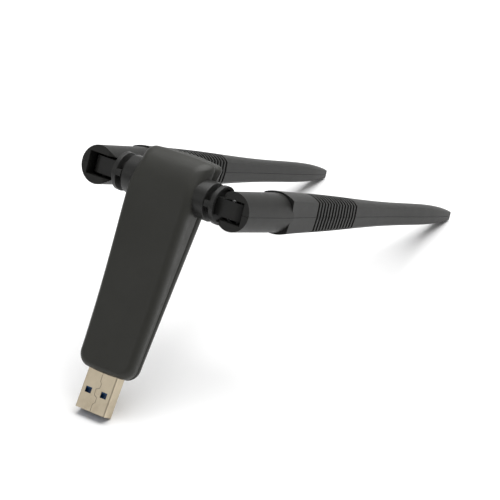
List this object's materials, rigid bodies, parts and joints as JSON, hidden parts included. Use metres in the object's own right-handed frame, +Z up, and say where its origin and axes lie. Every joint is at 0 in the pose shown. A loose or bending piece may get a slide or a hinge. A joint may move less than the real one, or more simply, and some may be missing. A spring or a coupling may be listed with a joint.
{
  "type": "usb wifi adapter",
  "caption": "Thick stick-shaped wireless network adapter with a USB plug and folding, swivelling blade antennas, standing as an A-frame on its plug and antenna tips.",
  "frame": {"origin": "middle of the footprint of the object as it stands on a table, on the table surface", "axes": "+X along the swivel axis towards the right antenna as seen from the front, +Y from the plug towards the antenna noses, +Z up"},
  "size_m": [0.0676, 0.1714, 0.0731],
  "materials": {
    "cover_plastic": "fine satin texture",
    "joint_plastic": "satin",
    "antenna_plastic": "satin",
    "plug_steel": "nickel plated, satin",
    "blue_insulator": "smooth",
    "contact_gold": "gold plated",
    "board_green": "solder mask",
    "can_steel": "tin plated",
    "chip_black": "moulded epoxy",
    "ceramic": "matt",
    "cable_jacket": "smooth",
    "pin_steel": "drawn",
    "copper": "bare copper"
  },
  "bodies": {
    "adapter_body": {"back_cover": "cover_plastic", "ceramic_capacitors": "ceramic", "coax_sockets": "contact_gold", "crystal": "can_steel", "flash_chip": "chip_black", "front_cover": "cover_plastic", "front_end_chips": "chip_black", "left_body_coax": "cable_jacket", "main_board": "board_green", "power_inductor": "chip_black", "right_body_coax": "cable_jacket", "shield_can": "can_steel", "usb_fast_contacts": "contact_gold", "usb_insulator": "blue_insulator", "usb_power_contacts": "contact_gold", "usb_shell": "plug_steel", "wifi_chip": "chip_black"},
    "right_swivel_joint": {"right_swivel": "joint_plastic", "right_swivel_coax": "cable_jacket"},
    "right_antenna": {"right_antenna_board": "board_green", "right_antenna_lower_shell": "antenna_plastic", "right_antenna_upper_shell": "antenna_plastic", "right_dipole": "copper", "right_feed_coax": "cable_jacket", "right_hinge_pin": "pin_steel"},
    "left_swivel_joint": {"left_swivel": "joint_plastic", "left_swivel_coax": "cable_jacket"},
    "left_antenna": {"left_antenna_board": "board_green", "left_antenna_lower_shell": "antenna_plastic", "left_antenna_upper_shell": "antenna_plastic", "left_dipole": "copper", "left_feed_coax": "cable_jacket", "left_hinge_pin": "pin_steel"}
  },
  "joints": [
    {"name": "right_swivel_turn", "type": "hinge", "parent": "adapter_body", "child": "right_swivel_joint", "pos_m": [0.018, -0.03774, 0.06277], "axis": [1, 0, 0], "range_deg": [-100.4, 79.6]},
    {"name": "right_antenna_fold", "type": "hinge", "parent": "right_swivel_joint", "child": "right_antenna", "pos_m": [0.0273, -0.03774, 0.06277], "axis": [0, -0.4464, -0.8948], "range_deg": [0, 90]},
    {"name": "left_swivel_turn", "type": "hinge", "parent": "adapter_body", "child": "left_swivel_joint", "pos_m": [-0.018, -0.03774, 0.06277], "axis": [1, 0, 0], "range_deg": [-100.4, 79.6]},
    {"name": "left_antenna_fold", "type": "hinge", "parent": "left_swivel_joint", "child": "left_antenna", "pos_m": [-0.0273, -0.03774, 0.06277], "axis": [0, 0.4464, 0.8948], "range_deg": [0, 90]}
  ]
}
